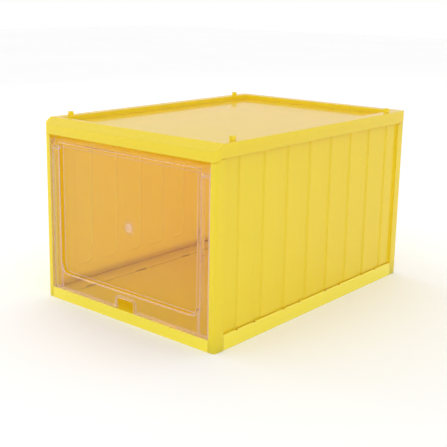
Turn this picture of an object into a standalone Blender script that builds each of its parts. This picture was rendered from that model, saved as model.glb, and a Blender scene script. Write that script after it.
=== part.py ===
"""Stackable drop-front shoe box: five snap-together moulded panels and a clear top-hinged door.

Frame: metres, +Z up, +X to the right as one faces the door, the door on the -Y side.
The origin is at the middle of the box's footprint, on the surface it stands on.
"""

from math import cos, pi, sin

import bmesh
import bpy
from mathutils import Matrix, Vector

# ---------------------------------------------------------------- driving dimensions

WIDTH = 0.240             # over the base and the corner posts
DEPTH = 0.337             # over the base and the corner posts
RIM_TOP = 0.1975          # height of the stacking rim
CORNER_RADIUS = 0.0035    # vertical corners of the posts
GAP = 0.0003              # clearance between neighbouring pieces
FACE_GAP = 0.0004         # clearance round the snap ridges, behind the door and at the guide ribs
SEAM_GAP = 0.0008         # visible seams above and below the walls
OVERLAP = 0.0005          # how far shapes of one piece run into each other
REACH = 0.010             # how far a cutter runs past the face it cuts
TOLERANCE = 1e-6          # points closer than this are in line
SHARP_ANGLE = 0.5         # radians between two faces whose edge stays crisp

FRONT = -DEPTH / 2
BACK = DEPTH / 2
SIDE = WIDTH / 2

# Base tray
FLOOR_TOP = 0.0085
FLOOR_BOTTOM = 0.0057
BAND_TOP = 0.0150
SILL_TOP = 0.0120
BAND_WALL = 0.0034
BAND_CHAMFER = 0.0012
RIB = 0.0016
RIB_LIFT = 0.0008         # ribs end this far above the standing surface
RIB_ROWS = 4
RIB_COLUMNS = 4
RIM_RIBS = 1.5            # ribs' widths left solid behind the posts
BEAM_RIBS = 2             # ribs' widths left solid beside the corner posts
WELL_DEPTH = 0.0010       # shallow lowered middle of the floor
WELL_HALF_WIDTH = 0.092
WELL_MARGIN = 0.020
SLOT_LENGTH = 0.017
SLOT_WIDTH = 0.0028
SLOT_FIRST = 0.039        # first floor slot, measured back from the front
SLOT_PITCH = 0.0774
SNAP_COUNT = 4
SNAP_FIRST = 0.048        # first snap ridge, measured back from the front
SNAP_PITCH = 0.07614
SNAP_LENGTH = 0.022
SNAP_LOW = 0.0100
SNAP_HIGH = 0.0125
SNAP_PROUD = 0.0009
RELIEF_OFFSET = 0.0138    # relief pockets either side of a snap
RELIEF_LENGTH = 0.0032
RELIEF_DEPTH = 0.0032
RELIEF_WALL = 0.0008

# Corner posts
POST_WIDTH = 0.0075
POST_DEPTH = 0.0132
STOP_WIDTH = 0.0040
STOP_THICKNESS = 0.0020
STOP_TOP = 0.160

# Wall panels
WALL = 0.0018
WALL_INSET = 0.0058       # inner face of a wall, in from the post's outer face
FLUTE_STEP = 0.0014
FLUTE_WIDTH = 0.026
FLUTE_PITCH = 0.03807
FLUTE_FIRST = 0.035       # first raised flute, measured back from the front
SIDE_FLUTES = 7
BACK_FLUTES = 5
FLUTE_SLOPE = 0.0018
POCKET_LOW = 0.027        # inner side of a flute
POCKET_HIGH = 0.180
POCKET_RADIUS = 0.008
PANEL_TOP = 0.1884
TONGUE = 0.0016           # the back panel's side edges in the rear posts' grooves

# Top cover
COVER_OVERHANG = 0.0007
COVER_RADIUS = 0.0056
COVER_WALL = 0.0022
SKIRT_SIDE = 0.1840       # lower edge along the sides and back
SKIRT_FRONT = 0.1810      # lower edge along the front
SKIRT_RUN = 0.0070        # the lower edge rises over this length at each front corner
CHAMFER_LOW = 0.1910      # top of the upright part of the front
CHAMFER_RUN = 0.00975     # depth of the sloping front edge, front to back
PLATE_TOP = 0.1923        # sunken top
PLATE = 0.0022
RIM_WIDTH = 0.0115
FRONT_RIM_WIDTH = 0.0048
RECESS_RADIUS = 0.0040
GUIDE_RIB = 0.0016
GUIDE_LOW = 0.1850
GUIDE_MARGIN = 0.020
PEG_RADIUS = 0.0031
PEG_HEIGHT = 0.0045
PEG_OUT = 0.1125          # peg centres, out from the middle
PEG_INSET = 0.0300        # peg centres, in from the front and the back
PEG_CHAMFER = 0.0005

# Door
DOOR_SHEET = 0.0020
DOOR_BOTTOM = 0.0125
DOOR_TOP = 0.1785
DOOR_FLANGE = 0.0040
DOOR_HALF = SIDE - POST_WIDTH - GAP
DOOR_CORNER = 0.0025
WINDOW_HALF = 0.0975
WINDOW_BOTTOM = 0.0320
WINDOW_DEPTH = 0.0060
WINDOW_RADIUS = 0.010
WINDOW_TOP = 0.1732
TOP_BAR_RADIUS = 0.0041
TOP_BAR_LOW = 0.1680
HOLLOW_TOP = 0.1660
NOTCH_HALF = 0.0128
NOTCH_TOP = 0.0242
NOTCH_RADIUS = 0.0040
LIP_SETBACK = 0.0008      # the notch's flange is this much shallower than the door's
GATE_HEIGHT = 0.098       # moulding gate mark, on the door's middle line
GATE_RADIUS = 0.0090
GATE_FLOOR_RADIUS = 0.0060
GATE_DEPTH = 0.0009
GATE_STUB_RADIUS = 0.0040
GATE_STUB_FOOT = 0.0008   # the stub's foot, sunk in the window sheet
HINGE_BACK = 0.0060       # hinge axis, measured back from the front
HINGE_HEIGHT = 0.1722
PIN_RADIUS = 0.0020
PIN_LENGTH = 0.0033
PIN_CLEARANCE = 0.0003

ARC_SEGMENTS = 6
BAR_SEGMENTS = 14
ROUND_SEGMENTS = 24

# Derived positions
WALL_INNER = SIDE - WALL_INSET
FLUTE_OUTER = WALL_INNER + WALL + FLUTE_STEP
WALL_BACK = BACK - WALL_INSET
FLUTE_LOW = BAND_TOP + SEAM_GAP
FLUTE_HIGH = SKIRT_SIDE - SEAM_GAP
POST_INNER = SIDE - POST_WIDTH
PANEL_BOTTOM = FLOOR_TOP + SEAM_GAP
BAND_INNER = SIDE - BAND_WALL
AXIS_Y = FRONT + HINGE_BACK
SKIRT_SLOPE = (SKIRT_SIDE - SKIRT_FRONT) / SKIRT_RUN


# ---------------------------------------------------------------- scene and materials

def clear_scene():
    for item in list(bpy.data.objects):
        bpy.data.objects.remove(item, do_unlink=True)


def new_collection(name):
    collection = bpy.data.collections.new(name)
    bpy.context.scene.collection.children.link(collection)
    return collection


def plastic(name, colour, roughness, transmission=0.0, alpha=1.0):
    material = bpy.data.materials.new(name)
    material.use_nodes = True
    shader = material.node_tree.nodes["Principled BSDF"]
    shader.inputs["Base Color"].default_value = (*colour, 1.0)
    shader.inputs["Roughness"].default_value = roughness
    shader.inputs["Metallic"].default_value = 0.0
    shader.inputs["Transmission Weight"].default_value = transmission
    shader.inputs["Alpha"].default_value = alpha
    material.diffuse_color = (*colour, alpha)
    return material


clear_scene()
PARTS = new_collection("shoe_box")
GUIDES = new_collection("cutters")


# ---------------------------------------------------------------- shapes

def add_object(name, mesh, collection):
    item = bpy.data.objects.new(name, mesh)
    collection.objects.link(item)
    if collection == GUIDES:
        item.hide_render = True
        item.display_type = "WIRE"
    return item


def block(name, low, high, collection=GUIDES):
    """A box between two opposite corners, whichever way round they are given."""
    first = Vector([min(a, b) for a, b in zip(low, high)])
    last = Vector([max(a, b) for a, b in zip(low, high)])
    size = last - first
    mesh = bpy.data.meshes.new(name)
    work = bmesh.new()
    bmesh.ops.create_cube(work, size=1.0)
    bmesh.ops.scale(work, vec=size, verts=work.verts)
    bmesh.ops.translate(work, vec=(first + last) / 2, verts=work.verts)
    work.to_mesh(mesh)
    work.free()
    return add_object(name, mesh, collection)


def round_edges(item, chosen, radius, segments=ARC_SEGMENTS):
    """Round or chamfer the edges of a mesh whose two ends satisfy the test."""
    work = bmesh.new()
    work.from_mesh(item.data)
    edges = [edge for edge in work.edges if chosen(edge.verts[0].co, edge.verts[1].co)]
    bmesh.ops.bevel(work, geom=edges, offset=radius, offset_type="OFFSET",
                    segments=segments, profile=0.5, affect="EDGES")
    work.to_mesh(item.data)
    work.free()


def along(axis):
    """Test for edges that run along one axis."""
    others = [i for i in range(3) if i != axis]
    return lambda a, b: all(abs(a[i] - b[i]) < TOLERANCE for i in others)


def rod(name, radius, centre, low_x, high_x):
    """A cylinder along X between two X values, its axis at centre (y, z)."""
    start, end = sorted((low_x, high_x))
    mesh = bpy.data.meshes.new(name)
    work = bmesh.new()
    bmesh.ops.create_cone(work, cap_ends=True, segments=ROUND_SEGMENTS, radius1=radius,
                          radius2=radius, depth=end - start)
    bmesh.ops.rotate(work, matrix=Matrix.Rotation(pi / 2, 3, "Y"), verts=work.verts)
    bmesh.ops.translate(work, vec=((start + end) / 2, *centre), verts=work.verts)
    work.to_mesh(mesh)
    work.free()
    return add_object(name, mesh, GUIDES)


def profile(name, outline, low_x, high_x, collection=GUIDES):
    """A flat outline of (y, z) points, extruded along X between two X values."""
    curve = bpy.data.curves.new(name, "CURVE")
    curve.dimensions = "2D"
    curve.fill_mode = "BOTH"
    curve.extrude = (high_x - low_x) / 2
    spline = curve.splines.new("POLY")
    spline.points.add(len(outline) - 1)
    for point, (y, z) in zip(spline.points, outline):
        point.co = (y, z, 0.0, 1.0)
    spline.use_cyclic_u = True
    flat = bpy.data.objects.new(name, curve)
    bpy.context.scene.collection.objects.link(flat)
    turn = Matrix(((0, 0, 1), (1, 0, 0), (0, 1, 0))).to_4x4()
    flat.matrix_world = Matrix.Translation(((low_x + high_x) / 2, 0, 0)) @ turn
    bpy.context.view_layer.update()
    evaluated = flat.evaluated_get(bpy.context.evaluated_depsgraph_get())
    mesh = bpy.data.meshes.new_from_object(evaluated)
    work = bmesh.new()
    work.from_mesh(mesh)
    bmesh.ops.remove_doubles(work, verts=work.verts, dist=TOLERANCE)
    bmesh.ops.recalc_face_normals(work, faces=work.faces)
    work.to_mesh(mesh)
    work.free()
    mesh.transform(flat.matrix_world)
    bpy.data.objects.remove(flat, do_unlink=True)
    return add_object(name, mesh, collection)


def combine(target, other, operation):
    modifier = target.modifiers.new(other.name, "BOOLEAN")
    modifier.operation = operation
    modifier.object = other
    modifier.solver = "EXACT"


def join(target, other):
    combine(target, other, "UNION")


def cut(target, other):
    combine(target, other, "DIFFERENCE")


def finish(item, material):
    item.data.materials.append(material)
    item.data.shade_smooth()
    item.data.set_sharp_from_angle(angle=SHARP_ANGLE)


# ---------------------------------------------------------------- base tray

def base_tray(material):
    """Floor with a raised band round its edge, lower along the front, and ribbed underneath."""
    tray = block("base_tray", (-SIDE, FRONT, 0), (SIDE, BACK, BAND_TOP), PARTS)
    round_edges(tray, lambda a, b: min(a.z, b.z) > BAND_TOP / 2, BAND_CHAMFER, segments=1)

    inner_front = FRONT + BAND_WALL
    cut(tray, block("tray_inside", (-BAND_INNER, inner_front, FLOOR_TOP),
                    (BAND_INNER, BACK - BAND_WALL, BAND_TOP + REACH)))
    cut(tray, block("above_sill", (-SIDE - REACH, FRONT - REACH, SILL_TOP),
                    (SIDE + REACH, inner_front + OVERLAP, BAND_TOP + REACH)))

    post_room = POST_DEPTH + GAP
    for side in (-1, 1):
        for name, outer, inner in (("front", FRONT - REACH, FRONT + post_room),
                                   ("back", BACK + REACH, BACK - post_room)):
            cut(tray, block(f"tray_corner_{name}_{side}", (side * (POST_INNER - GAP), outer, -REACH),
                            (side * (SIDE + REACH), inner, BAND_TOP + REACH)))

    cut_underside(tray, post_room)

    cut(tray, block("floor_well", (-WELL_HALF_WIDTH, FRONT + WELL_MARGIN, FLOOR_TOP - WELL_DEPTH),
                    (WELL_HALF_WIDTH, BACK - WELL_MARGIN, FLOOR_TOP + REACH)))
    for side in (-1, 1):
        for index in range(SNAP_COUNT):
            cut_slot(tray, side, index)
            cut_snap(tray, side, index)
    finish(tray, material)


def cut_underside(tray, post_room):
    """Hollow the underside into pockets, which leaves the stiffening ribs between them."""
    beam_half = POST_INNER - GAP - BEAM_RIBS * RIB
    for name, outer, inner in (("front", FRONT + BAND_WALL, FRONT + post_room - GAP),
                               ("back", BACK - BAND_WALL, BACK - post_room + GAP)):
        cut(tray, block(f"beam_{name}", (-beam_half, outer, -REACH), (beam_half, inner, FLOOR_BOTTOM)))

    start = FRONT + post_room + RIM_RIBS * RIB
    row_length = (-2 * start - (RIB_ROWS - 1) * RIB) / RIB_ROWS
    column_width = (2 * BAND_INNER - (RIB_COLUMNS - 1) * RIB) / RIB_COLUMNS
    cut(tray, block("rib_lift", (-BAND_INNER, start, -REACH), (BAND_INNER, -start, RIB_LIFT)))
    for row in range(RIB_ROWS):
        low_y = start + row * (row_length + RIB)
        for column in range(RIB_COLUMNS):
            low_x = -BAND_INNER + column * (column_width + RIB)
            cut(tray, block(f"pocket_{row}_{column}", (low_x, low_y, -REACH),
                            (low_x + column_width, low_y + row_length, FLOOR_BOTTOM)))


def cut_slot(tray, side, index):
    """One narrow slot through the floor, just outside the lowered middle."""
    middle = FRONT + SLOT_FIRST + index * SLOT_PITCH
    cut(tray, block(f"floor_slot_{side}_{index}",
                    (side * (WELL_HALF_WIDTH - OVERLAP), middle - SLOT_LENGTH / 2, -REACH),
                    (side * (WELL_HALF_WIDTH + SLOT_WIDTH), middle + SLOT_LENGTH / 2, REACH)))


def cut_snap(tray, side, index):
    """The catch groove for one snap ridge, and the relief pockets at its two ends."""
    middle = FRONT + SNAP_FIRST + index * SNAP_PITCH
    half = SNAP_LENGTH / 2 + OVERLAP
    cut(tray, block(f"snap_groove_{side}_{index}",
                    (side * (BAND_INNER - OVERLAP), middle - half, SNAP_LOW - FACE_GAP),
                    (side * (BAND_INNER + SNAP_PROUD), middle + half, SNAP_HIGH + FACE_GAP)))
    for end in (-1, 1):
        spot = middle + end * RELIEF_OFFSET
        cut(tray, block(f"relief_{side}_{index}_{end}",
                        (side * (BAND_INNER - OVERLAP), spot - RELIEF_LENGTH / 2, BAND_TOP - RELIEF_DEPTH),
                        (side * (SIDE - RELIEF_WALL), spot + RELIEF_LENGTH / 2, BAND_TOP + REACH)))


# ---------------------------------------------------------------- wall panels

def skirt_line(offset):
    """Outline (y, z) of everything above the cover's lower edge, moved down by offset."""
    return [(FRONT - REACH, SKIRT_FRONT - offset - REACH * SKIRT_SLOPE),
            (FRONT + SKIRT_RUN, SKIRT_SIDE - offset),
            (BACK + REACH, SKIRT_SIDE - offset),
            (BACK + REACH, RIM_TOP + REACH),
            (FRONT - REACH, RIM_TOP + REACH)]


def flute(name, side, low_y, high_y):
    """A raised strip on a side wall, with sloping long sides."""
    item = block(name, (side * (WALL_INNER + OVERLAP), low_y - FLUTE_SLOPE / 2, FLUTE_LOW),
                 (side * FLUTE_OUTER, high_y + FLUTE_SLOPE / 2, FLUTE_HIGH))
    at_face = FLUTE_OUTER - TOLERANCE
    upright = along(2)
    round_edges(item, lambda a, b: upright(a, b) and abs(a.x) > at_face, FLUTE_SLOPE, segments=1)
    return item


def flute_pocket(name, low, high, across):
    """The hollow behind a flute: a box with rounded corners, its inner face along `across`."""
    item = block(name, low, high)
    round_edges(item, along(across), POCKET_RADIUS)
    return item


def side_panel(name, side, material):
    """Fluted side wall with its two corner posts, door stop and hinge socket."""
    panel = block(name, (side * POST_INNER, FRONT, 0),
                  (side * SIDE, FRONT + POST_DEPTH, RIM_TOP), PARTS)
    upright = along(2)
    round_edges(panel, lambda a, b: upright(a, b) and abs(a.x) > POST_INNER + OVERLAP
                and a.y < FRONT + OVERLAP, CORNER_RADIUS)

    rear = block(f"{name}_rear_post", (side * POST_INNER, BACK - POST_DEPTH, 0),
                 (side * SIDE, BACK, RIM_TOP))
    round_edges(rear, lambda a, b: upright(a, b) and abs(a.x) > POST_INNER + OVERLAP
                and a.y > BACK - OVERLAP, CORNER_RADIUS)
    join(panel, rear)
    cut(panel, profile(f"{name}_below_cover", skirt_line(SEAM_GAP), -SIDE - REACH, SIDE + REACH))

    core_end = COVER_WALL + 2 * GAP
    join(panel, block(f"{name}_wall", (side * WALL_INNER, FRONT + core_end, PANEL_BOTTOM),
                      (side * (WALL_INNER + WALL), BACK - core_end, PANEL_TOP)))

    for index in range(SIDE_FLUTES):
        low_y = FRONT + FLUTE_FIRST + index * FLUTE_PITCH
        add_side_flute(panel, f"{name}_flute_{index}", side, low_y, low_y + FLUTE_WIDTH)
    last_y = FRONT + FLUTE_FIRST + SIDE_FLUTES * FLUTE_PITCH
    join(panel, flute(f"{name}_flute_last", side, last_y, BACK - POST_DEPTH + FLUTE_SLOPE))

    for index in range(SNAP_COUNT):
        middle = FRONT + SNAP_FIRST + index * SNAP_PITCH
        join(panel, block(f"{name}_snap_{index}",
                          (side * (WALL_INNER + OVERLAP), middle - SNAP_LENGTH / 2, SNAP_LOW),
                          (side * (BAND_INNER + SNAP_PROUD - FACE_GAP), middle + SNAP_LENGTH / 2,
                           SNAP_HIGH)))

    stop_face = FRONT + DOOR_FLANGE + FACE_GAP
    join(panel, block(f"{name}_stop", (side * (POST_INNER - STOP_WIDTH), stop_face, PANEL_BOTTOM),
                      (side * (POST_INNER + OVERLAP), stop_face + STOP_THICKNESS, STOP_TOP)))
    cut(panel, rod(f"{name}_socket", PIN_RADIUS + PIN_CLEARANCE, (AXIS_Y, HINGE_HEIGHT),
                   side * (POST_INNER - REACH), side * (DOOR_HALF + PIN_LENGTH + 2 * GAP)))
    cut(panel, block(f"{name}_back_groove",
                     (side * (POST_INNER - REACH), WALL_BACK - GAP, PANEL_BOTTOM - GAP),
                     (side * (POST_INNER + TONGUE), WALL_BACK + WALL + GAP, PANEL_TOP + REACH)))
    finish(panel, material)


def add_side_flute(panel, name, side, low_y, high_y):
    join(panel, flute(name, side, low_y, high_y))
    margin = FLUTE_SLOPE / 2
    cut(panel, flute_pocket(f"{name}_pocket",
                            (side * (WALL_INNER - REACH), low_y + margin, POCKET_LOW),
                            (side * (WALL_INNER + FLUTE_STEP), high_y - margin, POCKET_HIGH), 0))


def back_panel(material):
    """Fluted back wall, held between the rear posts."""
    half = POST_INNER + TONGUE - GAP
    panel = block("back_panel", (-half, WALL_BACK, PANEL_BOTTOM),
                  (half, WALL_BACK + WALL, PANEL_TOP), PARTS)
    outer_y = WALL_BACK + WALL + FLUTE_STEP
    upright = along(2)
    for index in range(BACK_FLUTES):
        low_x = (index - (BACK_FLUTES - 1) / 2) * FLUTE_PITCH - FLUTE_WIDTH / 2
        high_x = low_x + FLUTE_WIDTH
        margin = FLUTE_SLOPE / 2
        raised = block(f"back_flute_{index}", (low_x - margin, WALL_BACK + OVERLAP, FLUTE_LOW),
                       (high_x + margin, outer_y, FLUTE_HIGH))
        round_edges(raised, lambda a, b: upright(a, b) and a.y > outer_y - TOLERANCE,
                    FLUTE_SLOPE, segments=1)
        join(panel, raised)
        cut(panel, flute_pocket(f"back_pocket_{index}", (low_x + margin, WALL_BACK - REACH, POCKET_LOW),
                                (high_x - margin, WALL_BACK + FLUTE_STEP, POCKET_HIGH), 1))
    finish(panel, material)


# ---------------------------------------------------------------- top cover

def top_cover(material):
    """Cap with a skirt, a sloping front edge, a sunken top and four stacking pegs."""
    half = SIDE + COVER_OVERHANG
    front = FRONT - COVER_OVERHANG
    back = BACK + COVER_OVERHANG
    cover = block("top_cover", (-half, front, SKIRT_FRONT - REACH / 2), (half, back, RIM_TOP), PARTS)
    round_edges(cover, along(2), COVER_RADIUS)

    lower_edge = [(FRONT - REACH, SKIRT_FRONT - REACH * SKIRT_SLOPE),
                  (FRONT + SKIRT_RUN, SKIRT_SIDE),
                  (BACK + REACH, SKIRT_SIDE),
                  (BACK + REACH, SKIRT_FRONT - 2 * REACH),
                  (FRONT - REACH, SKIRT_FRONT - 2 * REACH)]
    cut(cover, profile("skirt_edge", lower_edge, -half - REACH, half + REACH))

    shell_top = RIM_TOP - COVER_WALL
    inside = block("cover_inside", (-half + COVER_WALL, front + COVER_WALL, SKIRT_FRONT - 2 * REACH),
                   (half - COVER_WALL, back - COVER_WALL, shell_top))
    round_edges(inside, along(2), COVER_RADIUS - COVER_WALL)
    rise = (RIM_TOP - CHAMFER_LOW) / CHAMFER_RUN
    wall_drop = COVER_WALL * (1 + rise ** 2) ** 0.5
    cut(inside, above_chamfer("inner_chamfer", front, rise, wall_drop))
    cut(cover, inside)

    pan_front = front + CHAMFER_RUN + FRONT_RIM_WIDTH
    pan_half = half - RIM_WIDTH
    pan_back = back - RIM_WIDTH
    pan = block("cover_pan", (-pan_half - PLATE, pan_front - PLATE, PLATE_TOP - PLATE),
                (pan_half + PLATE, pan_back + PLATE, shell_top + OVERLAP))
    round_edges(pan, along(2), RECESS_RADIUS + PLATE)
    join(cover, pan)
    recess = block("cover_recess", (-pan_half, pan_front, PLATE_TOP), (pan_half, pan_back, RIM_TOP + REACH))
    round_edges(recess, along(2), RECESS_RADIUS)
    cut(cover, recess)
    cut(cover, above_chamfer("front_chamfer", front, rise, 0))

    guide_outer = WALL_INNER - FACE_GAP
    guide_end = DEPTH / 2 - GUIDE_MARGIN
    for side in (-1, 1):
        join(cover, block(f"guide_rib_{side}", (side * (guide_outer - GUIDE_RIB), -guide_end, GUIDE_LOW),
                          (side * guide_outer, guide_end, shell_top + OVERLAP)))
        for end in (-1, 1):
            join(cover, peg(f"peg_{side}_{end}", side * PEG_OUT, end * (DEPTH / 2 - PEG_INSET)))
    finish(cover, material)


def above_chamfer(name, front, rise, drop):
    """Everything above the sloping front edge, moved straight down by drop."""
    low = CHAMFER_LOW - drop
    outline = [(front - REACH, low - REACH * rise),
               (front + CHAMFER_RUN + REACH, low + (CHAMFER_RUN + REACH) * rise),
               (front - REACH, low + (CHAMFER_RUN + REACH) * rise)]
    return profile(name, outline, -SIDE - REACH, SIDE + REACH)


def peg(name, x, y):
    """A round stacking peg with a chamfered top, standing on the rim."""
    mesh = bpy.data.meshes.new(name)
    work = bmesh.new()
    bmesh.ops.create_cone(work, cap_ends=True, segments=ROUND_SEGMENTS, radius1=PEG_RADIUS,
                          radius2=PEG_RADIUS, depth=PEG_HEIGHT + OVERLAP)
    middle = RIM_TOP + (PEG_HEIGHT - OVERLAP) / 2
    bmesh.ops.translate(work, vec=(x, y, middle), verts=work.verts)
    work.to_mesh(mesh)
    work.free()
    item = add_object(name, mesh, GUIDES)
    round_edges(item, lambda a, b: min(a.z, b.z) > RIM_TOP + OVERLAP, PEG_CHAMFER, segments=1)
    return item


# ---------------------------------------------------------------- door

def front_door(material, hinge):
    """Clear moulding: a flanged frame round a window that is set back, with its own hinge pins."""
    door = profile("front_door", door_outline(), -DOOR_HALF, DOOR_HALF, PARTS)
    fore_and_aft = along(1)
    round_edges(door, lambda a, b: fore_and_aft(a, b) and a.z < WINDOW_BOTTOM, DOOR_CORNER)
    cut(door, block("door_hollow",
                    (-DOOR_HALF + DOOR_SHEET, FRONT + DOOR_SHEET, DOOR_BOTTOM + DOOR_SHEET),
                    (DOOR_HALF - DOOR_SHEET, FRONT + REACH, HOLLOW_TOP)))

    outer = block("window_box", (-WINDOW_HALF - DOOR_SHEET, FRONT + OVERLAP, WINDOW_BOTTOM - DOOR_SHEET),
                  (WINDOW_HALF + DOOR_SHEET, FRONT + WINDOW_DEPTH + DOOR_SHEET, WINDOW_TOP))
    round_edges(outer, lambda a, b: fore_and_aft(a, b) and a.z < WINDOW_BOTTOM,
                WINDOW_RADIUS + DOOR_SHEET)
    join(door, outer)
    recess = block("window_recess", (-WINDOW_HALF, FRONT - REACH, WINDOW_BOTTOM),
                   (WINDOW_HALF, FRONT + WINDOW_DEPTH, WINDOW_TOP))
    round_edges(recess, lambda a, b: fore_and_aft(a, b) and a.z < WINDOW_BOTTOM + OVERLAP,
                WINDOW_RADIUS)
    cut(door, recess)

    add_notch(door)
    add_gate_mark(door)
    for side in (-1, 1):
        join(door, block(f"door_rib_{side}",
                         (side * WINDOW_HALF, FRONT + OVERLAP, DOOR_BOTTOM + OVERLAP),
                         (side * (WINDOW_HALF + DOOR_SHEET), FRONT + DOOR_FLANGE - LIP_SETBACK,
                          WINDOW_BOTTOM + WINDOW_RADIUS)))
        join(door, rod(f"hinge_pin_{side}", PIN_RADIUS, (AXIS_Y, HINGE_HEIGHT),
                       side * (DOOR_HALF - PIN_LENGTH), side * (DOOR_HALF + PIN_LENGTH)))
    finish(door, material)
    place_on_axis(door, hinge)


def door_outline():
    """Section (y, z) of the door's frame: a flat flange that ends in a round bar along the top."""
    centre_y = FRONT + TOP_BAR_RADIUS
    centre_z = DOOR_TOP - TOP_BAR_RADIUS
    turns = [pi - pi * step / BAR_SEGMENTS for step in range(BAR_SEGMENTS + 1)]
    crown = [(centre_y + TOP_BAR_RADIUS * cos(turn), centre_z + TOP_BAR_RADIUS * sin(turn))
             for turn in turns]
    return [(FRONT, DOOR_BOTTOM), *crown, (FRONT + 2 * TOP_BAR_RADIUS, TOP_BAR_LOW),
            (FRONT + DOOR_FLANGE, TOP_BAR_LOW), (FRONT + DOOR_FLANGE, DOOR_BOTTOM)]


def add_notch(door):
    """Finger notch in the middle of the lower edge, with its own short flange."""
    fore_and_aft = along(1)
    lip = block("notch_lip", (-NOTCH_HALF - DOOR_SHEET, FRONT + OVERLAP, DOOR_BOTTOM + OVERLAP),
                (NOTCH_HALF + DOOR_SHEET, FRONT + DOOR_FLANGE - LIP_SETBACK, NOTCH_TOP + DOOR_SHEET))
    round_edges(lip, lambda a, b: fore_and_aft(a, b) and a.z > NOTCH_TOP, NOTCH_RADIUS + DOOR_SHEET)
    join(door, lip)
    opening = block("notch", (-NOTCH_HALF, FRONT - REACH, DOOR_BOTTOM - REACH),
                    (NOTCH_HALF, FRONT + REACH, NOTCH_TOP))
    round_edges(opening, lambda a, b: fore_and_aft(a, b) and a.z > NOTCH_TOP - OVERLAP, NOTCH_RADIUS)
    cut(door, opening)


def add_gate_mark(door):
    """The shallow dish and the low stub that the moulding gate leaves in the middle of the window."""
    face = FRONT + WINDOW_DEPTH
    slope = (GATE_RADIUS - GATE_FLOOR_RADIUS) / GATE_DEPTH
    proud = GATE_DEPTH / 2
    cut(door, round_across("gate_dish", GATE_RADIUS + slope * proud, GATE_FLOOR_RADIUS,
                           face - proud, face + GATE_DEPTH))
    join(door, round_across("gate_stub", GATE_STUB_RADIUS, GATE_STUB_RADIUS,
                            face, face + GATE_DEPTH + GATE_STUB_FOOT))


def round_across(name, front_radius, back_radius, front_y, back_y):
    """A cylinder or frustum along Y between two Y values, centred on the gate mark."""
    mesh = bpy.data.meshes.new(name)
    work = bmesh.new()
    bmesh.ops.create_cone(work, cap_ends=True, segments=2 * ROUND_SEGMENTS, radius1=front_radius,
                          radius2=back_radius, depth=back_y - front_y)
    bmesh.ops.rotate(work, matrix=Matrix.Rotation(-pi / 2, 3, "X"), verts=work.verts)
    bmesh.ops.translate(work, vec=(0, (front_y + back_y) / 2, GATE_HEIGHT), verts=work.verts)
    work.to_mesh(mesh)
    work.free()
    return add_object(name, mesh, GUIDES)


def place_on_axis(item, hinge):
    """Parent a piece to the hinge empty and keep it where it is."""
    item.parent = hinge
    item.matrix_parent_inverse = hinge.matrix_world.inverted()


def hinge_axis():
    hinge = bpy.data.objects.new("door_hinge_axis", None)
    hinge.location = (0, AXIS_Y, HINGE_HEIGHT)
    PARTS.objects.link(hinge)
    bpy.context.view_layer.update()
    return hinge


# ---------------------------------------------------------------- assembly

yellow = plastic("yellow_gloss_plastic", (0.85, 0.66, 0.05), 0.25)
clear = plastic("clear_plastic", (0.95, 0.93, 0.92), 0.05, transmission=1.0, alpha=0.35)

base_tray(yellow)
side_panel("left_side_panel", -1, yellow)
side_panel("right_side_panel", 1, yellow)
back_panel(yellow)
top_cover(yellow)
front_door(clear, hinge_axis())
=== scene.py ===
"""Looks of the drop-front shoe box: glossy yellow moulded panels and a clear door, in a white studio."""

from math import cos, radians, sin

import bmesh
import bpy
from mathutils import Matrix, Vector


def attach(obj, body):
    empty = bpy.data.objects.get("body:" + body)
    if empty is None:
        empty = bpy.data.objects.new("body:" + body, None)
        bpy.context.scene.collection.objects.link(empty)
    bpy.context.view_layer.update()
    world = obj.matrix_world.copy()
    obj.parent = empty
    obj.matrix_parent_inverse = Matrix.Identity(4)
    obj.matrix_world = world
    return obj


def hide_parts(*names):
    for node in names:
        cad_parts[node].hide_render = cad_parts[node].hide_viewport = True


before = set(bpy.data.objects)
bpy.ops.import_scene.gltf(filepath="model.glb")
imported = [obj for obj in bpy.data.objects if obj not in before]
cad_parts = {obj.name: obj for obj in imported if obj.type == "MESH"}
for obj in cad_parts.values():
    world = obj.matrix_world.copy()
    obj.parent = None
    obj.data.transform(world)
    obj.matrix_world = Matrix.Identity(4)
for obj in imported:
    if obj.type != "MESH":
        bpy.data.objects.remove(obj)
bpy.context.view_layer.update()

# ---------------------------------------------------------------- camera

CAMERA_PLACE = Vector((0.6014, -0.7369, 0.3254))
CAMERA_AZIMUTH = radians(40.878)
CAMERA_ELEVATION = radians(12.764)
CAMERA_ROLL = radians(0.811)
CAMERA_LENS = 69.34                      # millimetres, like the sensor
CAMERA_SENSOR = 36.0
CAMERA_SHIFT = (0.0353, -0.0744)
CAMERA_CLIP = 0.01

# ---------------------------------------------------------------- colours, linear

WHITE = (1.0, 1.0, 1.0)
YELLOW = (0.975, 0.955, 0.040)
YELLOW_DEEP = (0.968, 0.930, 0.030)
# pale colour for sharp edges: partly rubbed plastic, partly a painted highlight
YELLOW_WORN_AND_PAINTED_HIGHLIGHT = (0.985, 0.955, 0.24)
CLEAR_TINT = (0.985, 0.955, 0.945)
CLEAR_HAZE = (0.97, 0.94, 0.93)
# milky colour: real haze and the gate mark's frost, and a painted pale sheen along the door's edges
CLEAR_MILK_AND_PAINTED_SHEEN = (0.96, 0.78, 0.88)
GLOW_TINT = (1.0, 0.755, 0.55)           # plastic seen with the light behind it
TRAY_TINT = (1.0, 0.87, 0.86)            # the tray's yellow is warmer than the walls'
FLOOR_TONES = ((0.965, 0.965, 0.965), (0.985, 0.985, 0.985))

# ---------------------------------------------------------------- textures
# Noises are (scale, detail, roughness). Bumps are (strength, distance in metres). Spans are the
# stretch of a noise's values that a change is spread over.

MIDTONES = (0.30, 0.70)

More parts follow.
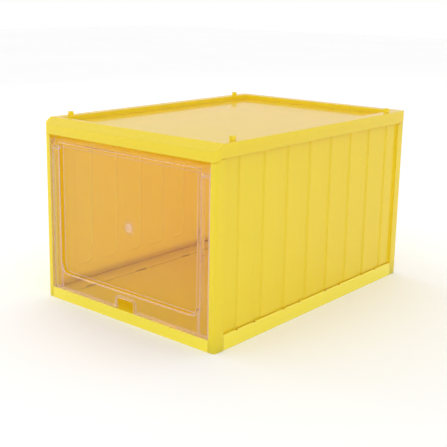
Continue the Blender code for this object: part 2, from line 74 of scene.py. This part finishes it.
FLOW_NOISE = (14.0, 4.0, 0.55)           # slow changes of tone, long from bottom to top
FLOW_STRETCH = (1.0, 1.0, 0.35)
FLOW_DEEPENING = 0.45
GRAIN_NOISE = (900.0, 2.0, 0.5)
GRAIN_SPAN = (0.35, 0.65)
GRAIN_DEEPENING = 0.10
GRAIN_BUMP = (0.04, 0.0002)
PEEL_NOISE = (160.0, 2.0, 0.5)
PEEL_BUMP = (0.05, 0.0008)

SCUFF_NOISE = (75.0, 5.0, 0.7)           # fine from front to back
SCUFF_STRETCH = (1.0, 14.0, 3.0)
SCUFF_SPAN = (0.55, 0.75)
WEAR_AND_HIGHLIGHT_SPAN = (0.40, 0.62)
WEAR_AND_HIGHLIGHT_SHARE = (0.35, 0.85)                # how much of an edge is rubbed pale, partly as a painted highlight

HAZE_NOISE = (22.0, 3.0, 0.5)
HAZE_SHARE = 0.35
WAVE_NOISE = (35.0, 2.0, 0.5)
WAVE_BUMP = (0.0008, 0.0003)
HAIRLINE_NOISE = (60.0, 5.0, 0.7)        # fine from bottom to top
HAIRLINE_STRETCH = (2.0, 1.0, 26.0)
HAIRLINE_SPAN = (0.62, 0.80)

FLOOR_NOISE = (1.5, 3.0, 0.5)

# ---------------------------------------------------------------- surfaces

YELLOW_ROUGHNESS = (0.17, 0.25)
CLEAR_ROUGHNESS = (0.015, 0.035)
SCUFF_ROUGHNESS = 0.10                   # added where a surface is scuffed
WEAR_ROUGHNESS = 0.12                    # added where an edge is rubbed
FLOOR_ROUGHNESS = 0.9
WALL_TRANSLUCENCY = 0.45
TRAY_TRANSLUCENCY = 0.08
MILKINESS = 0.006
# share of the painted pale sheen that stands in for reflections along the clear door's edges
PAINTED_EDGE_SHEEN = 0.85

# ---------------------------------------------------------------- gate mark in the window

GATE_CENTRE = (0.0, -0.1616, 0.098)
GATE_STUB = (0.0038, 0.0022)             # frosted inside the second radius, clear beyond the first
GATE_DISH = (0.0090, 0.0065)
GATE_FROST = 0.16
GATE_HAZE = 0.035

# ---------------------------------------------------------------- edges

EDGE_WIDTH = 0.0008                      # how far rubbed edges with their painted highlight, and shaded edges, reach
# reach of the painted pale sheen along the clear door's edges
CLEAR_EDGE_WIDTH = 0.0011
EDGE_SAMPLES = 6
EDGE_TURN = (0.999, 0.85)                # cosines from a flat face to a full edge
EDGE_ROUNDING = 0.00028
EDGE_SEGMENTS = 2
MERGE_DISTANCE = 1e-6
FLAT_ANGLE = radians(0.5)
EDGE_ANGLE = radians(30)
CREASE_ANGLE = (radians(15.5), radians(30))   # creases kept crisp, too slight to round
FLAT_WEIGHT = 100

# ---------------------------------------------------------------- studio

SHEET_BOUNCES = 64                       # for light that is reflected inside a clear sheet
WALL_BOUNCES = 12
WORLD_STRENGTH = 1.0
FLOOR_SIZE = 6.0
FLOOR_SEGMENTS = 2

LAMPS = (                                # name, place, aim, size, watts, shown in reflections
    ("key", (-0.5, -1.9, 1.7), (0.0, 0.0, 0.1), (1.4, 1.0), 1.0, True),
    ("top", (0.0, 0.2, 2.2), (0.0, 0.0, 0.1), (2.0, 2.0), 1.5, True),
    ("front", (0.5, -1.8, 0.25), (0.0, 0.0, 0.05), (1.2, 0.5), 0.8, True),
    ("far_side", (-1.9, 0.1, 0.5), (0.0, 0.0, 0.1), (1.5, 0.9), 12.5, False),
)


# ---------------------------------------------------------------- node helpers

class Shader:
    """A node material that is built up one node at a time."""

    def __init__(self, name):
        self.material = bpy.data.materials.new(name)
        self.material.use_nodes = True
        self.tree = self.material.node_tree
        self.surface = self.tree.nodes["Principled BSDF"]

    def fill(self, socket, value):
        """Link a socket's value, or set a plain one."""
        if isinstance(value, bpy.types.NodeSocket):
            self.tree.links.new(value, socket)
        else:
            socket.default_value = value

    def node(self, kind, inputs=None, **settings):
        made = self.tree.nodes.new(kind)
        for key, value in settings.items():
            setattr(made, key, value)
        for key, value in (inputs or {}).items():
            self.fill(made.inputs[key], value)
        return made

    def place(self):
        return self.node("ShaderNodeTexCoord").outputs["Object"]

    def noise(self, place, scale, detail, rough):
        made = self.node("ShaderNodeTexNoise", {"Vector": place, "Scale": scale,
                                               "Detail": detail, "Roughness": rough})
        return made.outputs["Fac"]

    def stretched(self, place, amounts):
        made = self.node("ShaderNodeMapping", {"Vector": place, "Scale": amounts})
        return made.outputs["Vector"]

    def remap(self, value, span, result):
        made = self.node("ShaderNodeMapRange", {"Value": value,
                                               "From Min": span[0], "From Max": span[1],
                                               "To Min": result[0], "To Max": result[1]})
        return made.outputs["Result"]

    def mix(self, factor, first, second, blend="MIX"):
        made = self.node("ShaderNodeMix", data_type="RGBA", blend_type=blend)
        # The node has a set of sockets for each data type: these are the colours' own.
        for index, value in ((0, factor), (6, first), (7, second)):
            self.fill(made.inputs[index], value)
        return made.outputs[2]

    def math(self, operation, first, second):
        made = self.node("ShaderNodeMath", {0: first, 1: second}, operation=operation)
        return made.outputs["Value"]

    def rounded_normal(self, radius):
        return self.node("ShaderNodeBevel", {"Radius": radius}, samples=EDGE_SAMPLES).outputs["Normal"]

    def edge_mask(self, radius):
        """Zero on flat faces and rising to one along sharp edges."""
        rounded = self.rounded_normal(radius)
        flat = self.node("ShaderNodeNewGeometry").outputs["Normal"]
        facing = self.node("ShaderNodeVectorMath", {0: rounded, 1: flat}, operation="DOT_PRODUCT")
        return self.remap(facing.outputs["Value"], EDGE_TURN, (0.0, 1.0))

    def bump(self, height, strength, distance, normal=None):
        inputs = {"Height": height, "Strength": strength, "Distance": distance}
        if normal is not None:
            inputs["Normal"] = normal
        return self.node("ShaderNodeBump", inputs).outputs["Normal"]

    def blend_surface(self, factor, other):
        """Mix another shader into the surface, by a number or by a socket."""
        socket = self.tree.nodes["Material Output"].inputs["Surface"]
        mixed = self.node("ShaderNodeMixShader", {0: factor, 1: socket.links[0].from_socket, 2: other})
        self.tree.links.new(mixed.outputs[0], socket)

    def link(self, value, socket):
        self.tree.links.new(value, self.surface.inputs[socket])

    def set(self, **values):
        for key, value in values.items():
            self.surface.inputs[key.replace("_", " ")].default_value = value


def colour(rgb, tint=WHITE):
    return (*(value * share for value, share in zip(rgb, tint)), 1.0)


def yellow_plastic(name, translucency, tint=WHITE):
    """Glossy moulded polypropylene: slight flow shading, faint orange peel, rubbed edges lightened
    partly by a painted highlight.
    """
    look = Shader(name)
    place = look.place()
    flow = look.noise(look.stretched(place, FLOW_STRETCH), *FLOW_NOISE)
    grain = look.noise(place, *GRAIN_NOISE)
    peel = look.noise(place, *PEEL_NOISE)
    scuffs = look.noise(look.stretched(place, SCUFF_STRETCH), *SCUFF_NOISE)

    deep = colour(YELLOW_DEEP, tint)
    base = look.mix(look.remap(flow, MIDTONES, (0.0, FLOW_DEEPENING)), colour(YELLOW, tint), deep)
    base = look.mix(look.remap(grain, GRAIN_SPAN, (0.0, GRAIN_DEEPENING)), base, deep)
    # Every sharp edge is lightened towards the pale edge colour at random strength: partly rubbed wear,
    # partly a painted highlight.
    wear_and_painted_highlight = look.math("MULTIPLY", look.edge_mask(EDGE_WIDTH),
                     look.remap(scuffs, WEAR_AND_HIGHLIGHT_SPAN, WEAR_AND_HIGHLIGHT_SHARE))
    base = look.mix(wear_and_painted_highlight, base, colour(YELLOW_WORN_AND_PAINTED_HIGHLIGHT))
    look.link(base, "Base Color")

    rough = look.remap(flow, MIDTONES, YELLOW_ROUGHNESS)
    rough = look.math("ADD", rough, look.remap(scuffs, SCUFF_SPAN, (0.0, SCUFF_ROUGHNESS)))
    rough = look.math("ADD", rough, look.math("MULTIPLY", wear_and_painted_highlight, WEAR_ROUGHNESS))
    look.link(rough, "Roughness")

    peeled = look.bump(peel, *PEEL_BUMP, look.rounded_normal(EDGE_WIDTH))
    look.link(look.bump(grain, *GRAIN_BUMP, peeled), "Normal")
    look.set(Metallic=0.0, IOR=1.54, Coat_Weight=0.55, Coat_IOR=1.5, Coat_Roughness=0.05)
    glow_colour = look.mix(1.0, base, colour(GLOW_TINT), "MULTIPLY")
    glow = look.node("ShaderNodeBsdfTranslucent", {"Color": glow_colour})
    look.blend_surface(translucency, glow.outputs[0])
    return look.material


def clear_plastic():
    """Clear moulded sheet: slightly warm, with a painted pale sheen along its edges, faint waves and
    hairline scuffs.

    The index is well below real polystyrene's 1.59. At 1.20 and 1.25 the door showed a dark line.
    """
    look = Shader("clear_moulded_plastic")
    place = look.place()
    haze = look.noise(place, *HAZE_NOISE)
    waves = look.noise(place, *WAVE_NOISE)
    scuffs = look.noise(look.stretched(place, HAIRLINE_STRETCH), *HAIRLINE_NOISE)

    rough = look.remap(haze, MIDTONES, CLEAR_ROUGHNESS)
    rough = look.math("ADD", rough, look.remap(scuffs, HAIRLINE_SPAN, (0.0, SCUFF_ROUGHNESS)))
    look.link(rough, "Roughness")
    hazy = look.remap(haze, MIDTONES, (0.0, HAZE_SHARE))
    look.link(look.mix(hazy, colour(CLEAR_TINT), colour(CLEAR_HAZE)), "Base Color")
    look.link(look.bump(waves, *WAVE_BUMP), "Normal")
    look.set(Metallic=0.0, IOR=1.10, Transmission_Weight=1.0, Alpha=1.0,
             Coat_Weight=1.0, Coat_IOR=1.35, Coat_Roughness=0.02)

    # A milky diffuse layer: faint real haze everywhere, frost at the gate mark, and a painted pale sheen
    # along the edges.
    milk_and_painted_sheen = look.node("ShaderNodeBsdfDiffuse", {"Color": colour(CLEAR_MILK_AND_PAINTED_SHEEN)})
    edges = look.math("MULTIPLY", look.edge_mask(CLEAR_EDGE_WIDTH), PAINTED_EDGE_SHEEN)
    gate = look.node("ShaderNodeVectorMath", {0: place, 1: GATE_CENTRE}, operation="DISTANCE")
    from_gate = gate.outputs["Value"]
    frost = look.math("ADD", look.remap(from_gate, GATE_STUB, (0.0, GATE_FROST)),
                      look.remap(from_gate, GATE_DISH, (0.0, GATE_HAZE)))
    share = look.math("ADD", look.math("ADD", edges, frost), MILKINESS)
    look.blend_surface(share, milk_and_painted_sheen.outputs[0])

    passing = look.node("ShaderNodeBsdfTransparent", {"Color": colour(CLEAR_TINT)})
    shadow_ray = look.node("ShaderNodeLightPath").outputs["Is Shadow Ray"]
    look.blend_surface(shadow_ray, passing.outputs[0])
    return look.material


# ---------------------------------------------------------------- pieces

def polished(node, name, body, material):
    """A copy of a moulded piece with every sharp edge slightly rounded."""
    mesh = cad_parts[node].data.copy()
    mesh.name = name
    work = bmesh.new()
    work.from_mesh(mesh)
    bmesh.ops.remove_doubles(work, verts=work.verts, dist=MERGE_DISTANCE)
    bmesh.ops.dissolve_limit(work, angle_limit=FLAT_ANGLE, verts=work.verts, edges=work.edges)
    for edge in work.edges:
        edge.smooth = not CREASE_ANGLE[0] < edge.calc_face_angle() < CREASE_ANGLE[1]
    for face in work.faces:
        face.smooth = True
    work.to_mesh(mesh)
    work.free()
    mesh.attributes.remove(mesh.attributes["custom_normal"])
    mesh.materials.clear()
    mesh.materials.append(material)
    piece = bpy.data.objects.new(name, mesh)
    bpy.context.scene.collection.objects.link(piece)
    bevel = piece.modifiers.new("rounded_edges", "BEVEL")
    bevel.width = EDGE_ROUNDING
    bevel.segments = EDGE_SEGMENTS
    bevel.limit_method = "ANGLE"
    bevel.angle_limit = EDGE_ANGLE
    bevel.use_clamp_overlap = True
    bevel.harden_normals = True
    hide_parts(node)
    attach(piece, body)
    return piece


def flatten_normals(piece):
    """Keep the flat faces' own normals, so that clear sheets beside round corners don't distort."""
    piece.modifiers["rounded_edges"].harden_normals = False
    flat = piece.modifiers.new("flat_faces", "WEIGHTED_NORMAL")
    flat.weight = FLAT_WEIGHT
    flat.keep_sharp = True


# ---------------------------------------------------------------- studio

def studio_floor():
    mesh = bpy.data.meshes.new("studio_floor")
    work = bmesh.new()
    bmesh.ops.create_grid(work, x_segments=FLOOR_SEGMENTS, y_segments=FLOOR_SEGMENTS, size=FLOOR_SIZE)
    work.to_mesh(mesh)
    work.free()
    floor = bpy.data.objects.new("studio_floor", mesh)
    bpy.context.scene.collection.objects.link(floor)
    look = Shader("studio_floor")
    tone = look.remap(look.noise(look.place(), *FLOOR_NOISE), MIDTONES, (0.0, 1.0))
    look.link(look.mix(tone, *(colour(shade) for shade in FLOOR_TONES)), "Base Color")
    look.set(Roughness=FLOOR_ROUGHNESS)
    mesh.materials.append(look.material)


def studio_world():
    world = bpy.data.worlds.new("studio")
    bpy.context.scene.world = world
    world.use_nodes = True
    back = world.node_tree.nodes["Background"]
    back.inputs["Color"].default_value = colour(WHITE)
    back.inputs["Strength"].default_value = WORLD_STRENGTH
    scene = bpy.context.scene
    scene.view_settings.view_transform = "Standard"
    scene.cycles.max_bounces = SHEET_BOUNCES
    scene.cycles.diffuse_bounces = WALL_BOUNCES
    scene.cycles.glossy_bounces = SHEET_BOUNCES
    scene.cycles.transmission_bounces = SHEET_BOUNCES


def soft_box(name, place, target, size, power, reflected):
    light = bpy.data.lights.new(name, "AREA")
    light.shape = "RECTANGLE"
    light.size, light.size_y = size
    light.energy = power
    lamp = bpy.data.objects.new(name, light)
    lamp.location = place
    aim = Vector(target) - Vector(place)
    lamp.rotation_euler = aim.to_track_quat("-Z", "Y").to_euler()
    lamp.visible_glossy = reflected
    bpy.context.scene.collection.objects.link(lamp)


def camera():
    back = Vector((sin(CAMERA_AZIMUTH) * cos(CAMERA_ELEVATION),
                   -cos(CAMERA_AZIMUTH) * cos(CAMERA_ELEVATION), sin(CAMERA_ELEVATION)))
    right = Vector((cos(CAMERA_AZIMUTH), sin(CAMERA_AZIMUTH), 0.0))
    up = back.cross(right)
    turned_right = cos(CAMERA_ROLL) * right + sin(CAMERA_ROLL) * up
    turned_up = cos(CAMERA_ROLL) * up - sin(CAMERA_ROLL) * right
    data = bpy.data.cameras.new("camera")
    data.lens = CAMERA_LENS
    data.sensor_width = CAMERA_SENSOR
    data.shift_x, data.shift_y = CAMERA_SHIFT
    data.clip_start = CAMERA_CLIP
    holder = bpy.data.objects.new("camera", data)
    turn = Matrix((turned_right, turned_up, back)).transposed()
    holder.matrix_world = Matrix.Translation(CAMERA_PLACE) @ turn.to_4x4()
    bpy.context.scene.collection.objects.link(holder)
    bpy.context.scene.camera = holder


# ---------------------------------------------------------------- build

camera()
studio_world()
studio_floor()
for lamp in LAMPS:
    soft_box(*lamp)

wall_plastic = yellow_plastic("yellow_moulded_plastic", WALL_TRANSLUCENCY)
tray_plastic = yellow_plastic("yellow_tray_plastic", TRAY_TRANSLUCENCY, TRAY_TINT)
clear = clear_plastic()
polished("base_tray", "base_tray_moulding", "case", tray_plastic)
for node in ("left_side_panel", "right_side_panel", "back_panel", "top_cover"):
    polished(node, f"{node}_moulding", "case", wall_plastic)
door = polished("front_door", "front_door_moulding", "door", clear)
flatten_normals(door)
